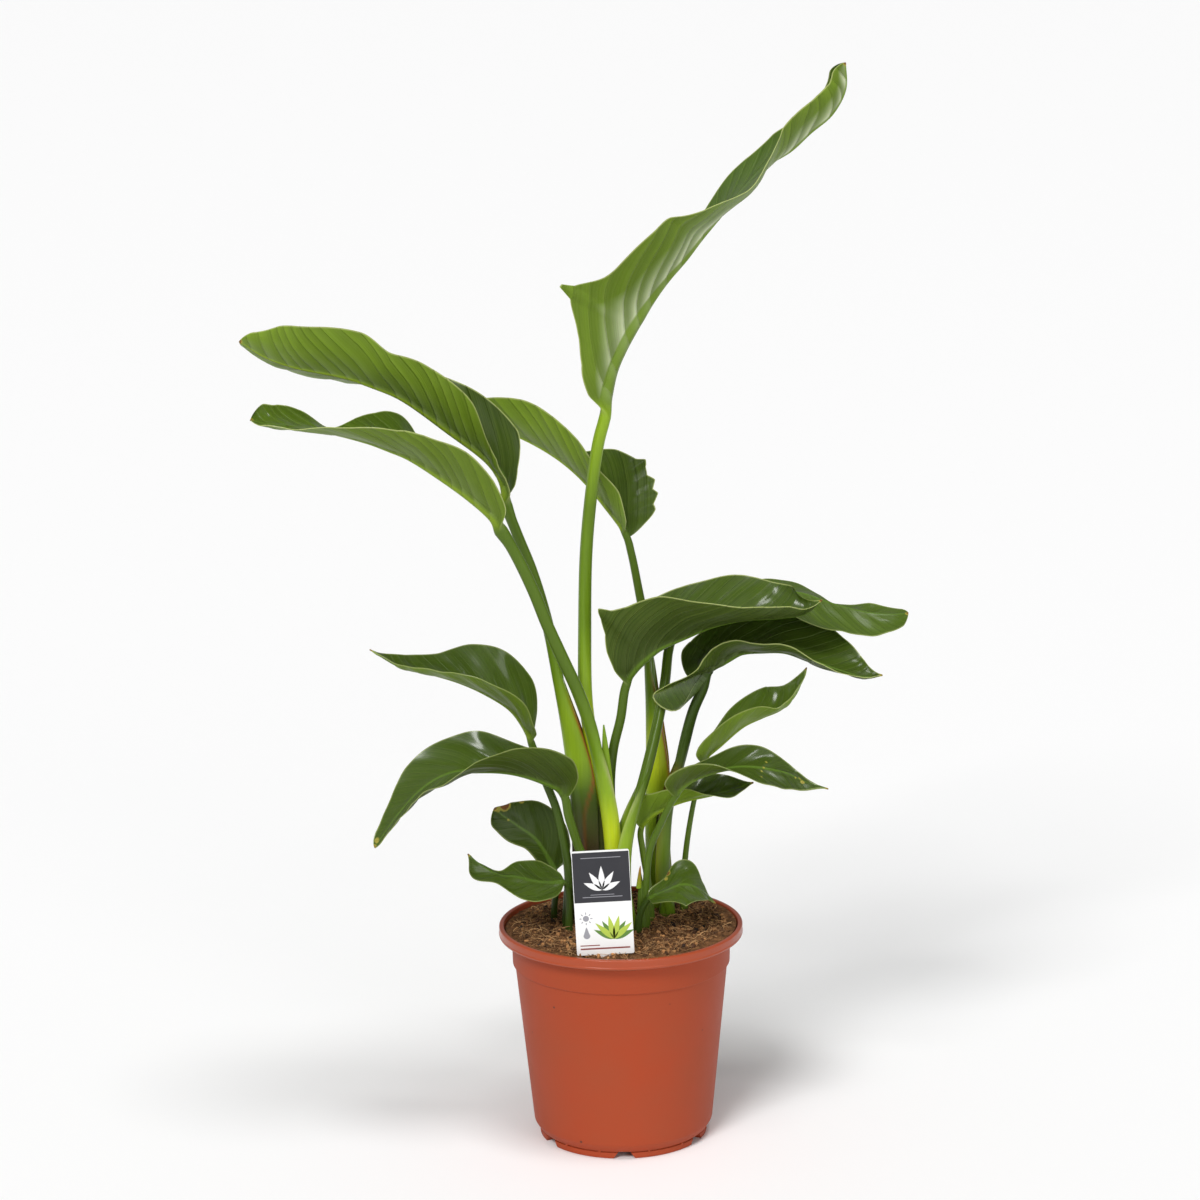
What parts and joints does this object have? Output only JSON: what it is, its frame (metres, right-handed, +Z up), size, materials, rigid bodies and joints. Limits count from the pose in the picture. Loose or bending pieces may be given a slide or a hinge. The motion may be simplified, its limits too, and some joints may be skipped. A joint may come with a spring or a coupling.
{
  "type": "potted giant white bird of paradise",
  "caption": "Young giant white bird of paradise in a round plastic nursery pot: paddle-shaped folded leaves on long stalks, rising from the soil, with a blank-style care tag.",
  "frame": {"origin": "on the floor, under the middle of the whole plant's bounding box; the pot's axis stands 26.8 mm to +X and 1.3 mm to -Y of it", "axes": "+Z up along the pot's axis, front with the care tag towards -Y, tallest leaf leaning towards +X"},
  "size_m": [0.5098, 0.1926, 0.8283],
  "materials": {
    "terracotta_plastic": "matt injection-moulded plastic, faintly mottled, with a slightly glossier rim",
    "coir_soil": "loose coir compost with golden fibres and dark crumbs",
    "printed_card": "coated stiff card, dark upper panel and white lower panel",
    "leaf": "leathery leaf, glossy dark green above, paler and satin below, fine parallel veins, thin cream margin, green stalk",
    "young_leaf": "fresh yellow-green leaf with bright stalk and midrib"
  },
  "bodies": {
    "root": {"pot": "terracotta_plastic", "soil": "coir_soil", "tag": "printed_card", "leaf_01": "young_leaf", "leaf_02": "leaf", "leaf_03": "leaf", "leaf_04": "leaf", "leaf_05": "leaf", "leaf_06": "leaf", "leaf_07": "leaf", "leaf_08": "leaf", "leaf_09": "leaf", "leaf_10": "leaf", "leaf_11": "leaf", "leaf_12": "leaf", "leaf_13": "leaf", "leaf_14": "leaf", "leaf_15": "leaf"}
  },
  "joints": []
}
